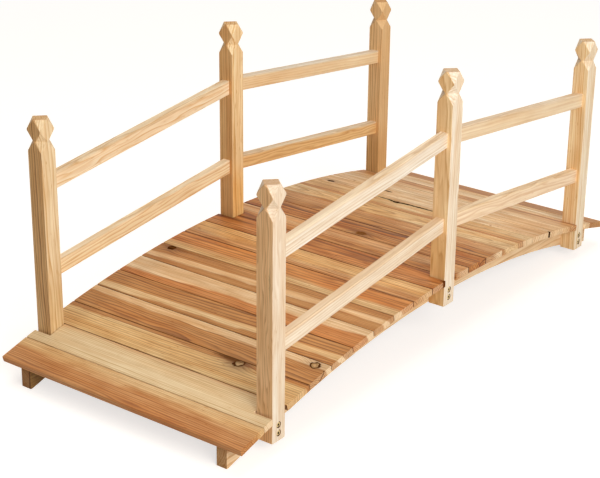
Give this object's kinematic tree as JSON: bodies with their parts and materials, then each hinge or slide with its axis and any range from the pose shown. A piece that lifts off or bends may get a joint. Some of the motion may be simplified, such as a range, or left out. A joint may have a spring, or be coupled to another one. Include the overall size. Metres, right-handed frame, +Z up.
{
  "type": "garden moon bridge",
  "caption": "Small arched wooden garden footbridge: curved stringers carry a deck of cross planks, and square posts with faceted finials hold straight rails along both sides.",
  "frame": {"origin": "middle of the bridge at ground level, under the crown of the arch", "axes": "+X along the bridge to its far end, +Y across to the left railing, +Z up"},
  "size_m": [1.4678, 0.64, 0.6275],
  "materials": {
    "stringer_wood": "planed, unpainted",
    "deck_heartwood": "planed, unpainted",
    "deck_sapwood": "planed, unpainted",
    "post_wood": "planed, unpainted",
    "rail_wood": "planed, unpainted"
  },
  "bodies": {
    "root": {"left_stringer": "stringer_wood", "right_stringer": "stringer_wood", "deck_plank_01": "deck_heartwood", "deck_plank_02": "deck_sapwood", "deck_plank_03": "deck_sapwood", "deck_plank_04": "deck_heartwood", "deck_plank_05": "deck_heartwood", "deck_plank_06": "deck_heartwood", "deck_plank_07": "deck_sapwood", "deck_plank_08": "deck_heartwood", "deck_plank_09": "deck_sapwood", "deck_plank_10": "deck_heartwood", "deck_plank_11": "deck_heartwood", "deck_plank_12": "deck_heartwood", "deck_plank_13": "deck_heartwood", "deck_plank_14": "deck_sapwood", "deck_plank_15": "deck_sapwood", "deck_plank_16": "deck_sapwood", "deck_plank_17": "deck_sapwood", "deck_plank_18": "deck_sapwood", "deck_plank_19": "deck_sapwood", "deck_plank_20": "deck_heartwood", "left_near_post": "post_wood", "left_middle_post": "post_wood", "left_far_post": "post_wood", "right_near_post": "post_wood", "right_middle_post": "post_wood", "right_far_post": "post_wood", "left_near_upper_rail": "rail_wood", "left_near_lower_rail": "rail_wood", "left_far_upper_rail": "rail_wood", "left_far_lower_rail": "rail_wood", "right_near_upper_rail": "rail_wood", "right_near_lower_rail": "rail_wood", "right_far_upper_rail": "rail_wood", "right_far_lower_rail": "rail_wood"}
  },
  "joints": []
}
